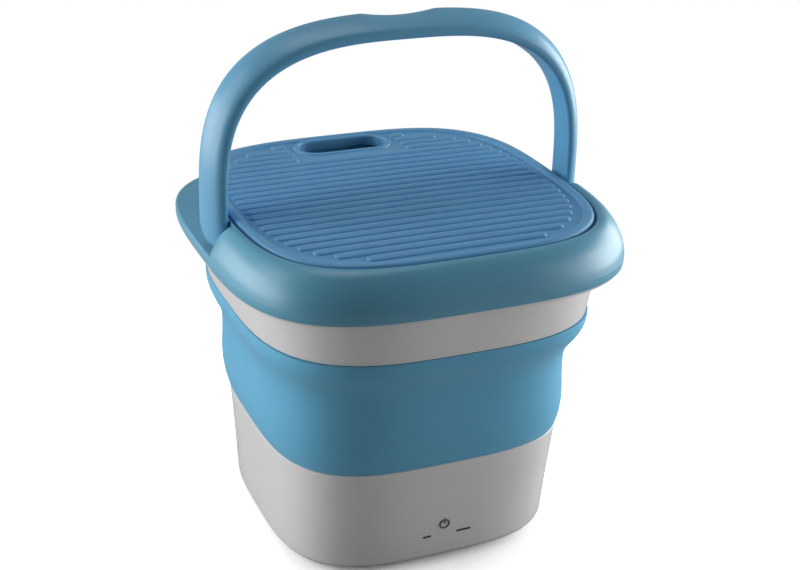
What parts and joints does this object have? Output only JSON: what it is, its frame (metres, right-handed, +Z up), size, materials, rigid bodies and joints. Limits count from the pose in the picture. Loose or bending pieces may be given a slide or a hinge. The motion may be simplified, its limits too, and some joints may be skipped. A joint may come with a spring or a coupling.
{
  "type": "folding portable washing machine",
  "caption": "Folding bucket-style washer with a soft collapsing wall, swing-back carry handle, washboard lid, pulsator drive and a plugged drain.",
  "frame": {"origin": "on the floor under the centre of the machine, with the wall unfolded and the handle leaning on its stop", "axes": "+Z up, front panel faces -Y, +X to the viewer's right as they face the front panel"},
  "size_m": [0.2906, 0.2942, 0.3788],
  "materials": {
    "shell_white": "gloss, moulded",
    "plain_white": "satin, moulded",
    "pulsator_white": "gloss, moulded",
    "rim_blue": "gloss, moulded",
    "plug_blue": "satin",
    "lid_blue": "satin, moulded",
    "cap_blue": "gloss, moulded",
    "wall_blue": "soft satin",
    "gasket_grey": "soft satin",
    "black_rubber": "matte",
    "black_plastic": "satin",
    "print_grey": "printed",
    "board_green": "solder mask",
    "led_clear": "clear",
    "lens_clear": "polished",
    "wire_red": "satin",
    "zinc_steel": "zinc plated",
    "shaft_steel": "ground",
    "bronze": "sintered",
    "gear_nylon": "moulded"
  },
  "bodies": {
    "base_body": {"base_shell": "shell_white", "bottom_plate": "plain_white", "rubber_feet": "black_rubber", "bottom_screws": "zinc_steel", "tub_floor": "plain_white", "power_mark": "print_grey", "indicator_marks": "print_grey", "control_board": "board_green", "touch_sensor": "board_green", "indicator_leds": "led_clear", "uv_lens": "lens_clear", "uv_board": "board_green", "dc_jack": "black_plastic", "wire_harness": "wire_red", "gearbox_plate": "zinc_steel", "gearbox_screws": "zinc_steel", "motor_can": "zinc_steel", "motor_screws": "zinc_steel", "lower_bush": "bronze", "upper_bush": "bronze", "shaft_seal": "black_rubber", "drain_pipe": "plain_white", "drain_gasket": "black_rubber", "folding_wall": "wall_blue"},
    "plug_body": {"drain_plug": "plug_blue"},
    "rotor_body": {"motor_shaft": "shaft_steel", "motor_pinion": "gear_nylon"},
    "pulsator_body": {"drive_gear": "gear_nylon", "pulsator_shaft": "shaft_steel", "pulsator": "pulsator_white", "pulsator_cap": "cap_blue"},
    "rim_body": {"collar_ring": "shell_white", "rim_frame": "rim_blue", "rim_screws": "zinc_steel", "hinge_pins": "shaft_steel"},
    "handle_body": {"handle": "rim_blue"},
    "lid_body": {"lid": "lid_blue", "lid_gasket": "gasket_grey"}
  },
  "joints": [
    {"name": "collapse", "type": "slide", "parent": "base_body", "child": "rim_body", "axis": [0, 0, 1], "range_m": [-0.09, 0], "deforming": ["folding_wall"]},
    {"name": "handle_fold", "type": "hinge", "parent": "rim_body", "child": "handle_body", "pos_m": [0, 0, 0.2286], "axis": [-1, 0, 0], "range_deg": [0, 90]},
    {"name": "lid_lift", "type": "slide", "parent": "rim_body", "child": "lid_body", "axis": [0, 0, 1], "range_m": [0, 0.04]},
    {"name": "pulsator_spin", "type": "hinge", "parent": "base_body", "child": "pulsator_body", "pos_m": [0, 0, 0.06], "axis": [0, 0, 1], "continuous": true},
    {"name": "motor_spin", "type": "hinge", "parent": "base_body", "child": "rotor_body", "pos_m": [-0.0321, 0, 0.05], "axis": [0, 0, 1], "continuous": true},
    {"name": "plug_pull", "type": "slide", "parent": "base_body", "child": "plug_body", "axis": [0, 1, 0], "range_m": [0, 0.014]}
  ],
  "couplings": [
    {"joint": "motor_spin", "follows": "pulsator_spin", "ratio": -3}
  ]
}
